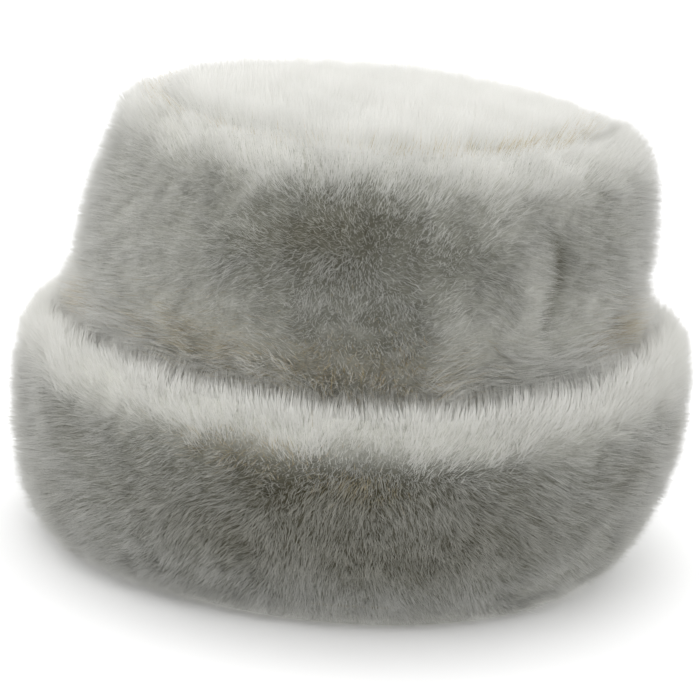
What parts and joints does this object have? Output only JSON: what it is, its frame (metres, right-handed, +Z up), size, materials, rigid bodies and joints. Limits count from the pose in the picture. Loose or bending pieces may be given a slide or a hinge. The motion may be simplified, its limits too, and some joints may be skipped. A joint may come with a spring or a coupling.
{
  "type": "fur hat",
  "caption": "Soft white fur hat with a flat-topped pillbox crown and a wide turned-up cuff, worn for warmth and dress.",
  "frame": {"origin": "on the floor under the middle of the hat's outer box, where the cuff's fold rests", "axes": "+Z up through the crown, +X to the hat's right as pictured, -Y the pictured side"},
  "size_m": [0.2588, 0.241, 0.1735],
  "materials": {
    "top_fur": "upright white plush pile",
    "side_fur": "ivory plush pile with greyer roots",
    "cuff_fur": "ivory plush pile with a white brushed roll"
  },
  "bodies": {
    "root": {"crown_top": "top_fur", "crown_side": "side_fur", "cuff": "cuff_fur"}
  },
  "joints": []
}
